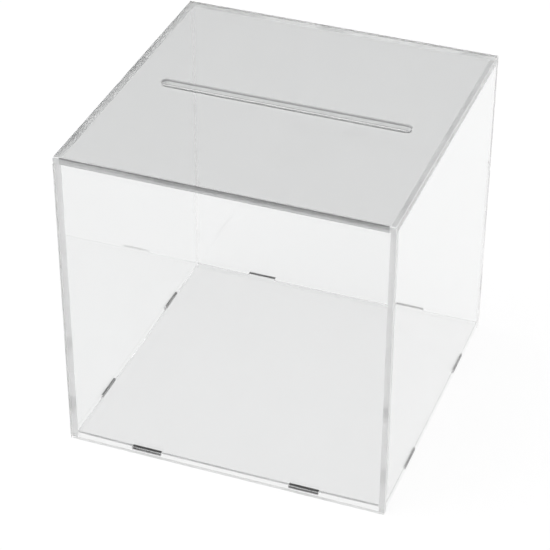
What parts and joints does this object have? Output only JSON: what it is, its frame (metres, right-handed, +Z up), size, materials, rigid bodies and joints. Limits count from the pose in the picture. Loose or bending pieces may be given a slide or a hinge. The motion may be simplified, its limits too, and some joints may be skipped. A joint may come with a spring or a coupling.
{
  "type": "money box",
  "caption": "Clear acrylic money box: square, glued from flat sheets, with one long round-ended slot across its lid.",
  "frame": {"origin": "centre of the footprint, on the surface the box stands on", "axes": "+Z up, front wall towards -Y, +X to the right seen from the front, along the money slot"},
  "size_m": [0.25, 0.25, 0.25],
  "materials": {
    "lid_acrylic": "clear polished acrylic sheet",
    "front_acrylic": "clear polished acrylic sheet",
    "back_acrylic": "clear polished acrylic sheet",
    "left_acrylic": "clear polished acrylic sheet",
    "right_acrylic": "clear polished acrylic sheet",
    "base_acrylic": "clear polished acrylic sheet"
  },
  "bodies": {
    "root": {"lid_panel": "lid_acrylic", "front_panel": "front_acrylic", "back_panel": "back_acrylic", "left_panel": "left_acrylic", "right_panel": "right_acrylic", "base_panel": "base_acrylic"}
  },
  "joints": []
}
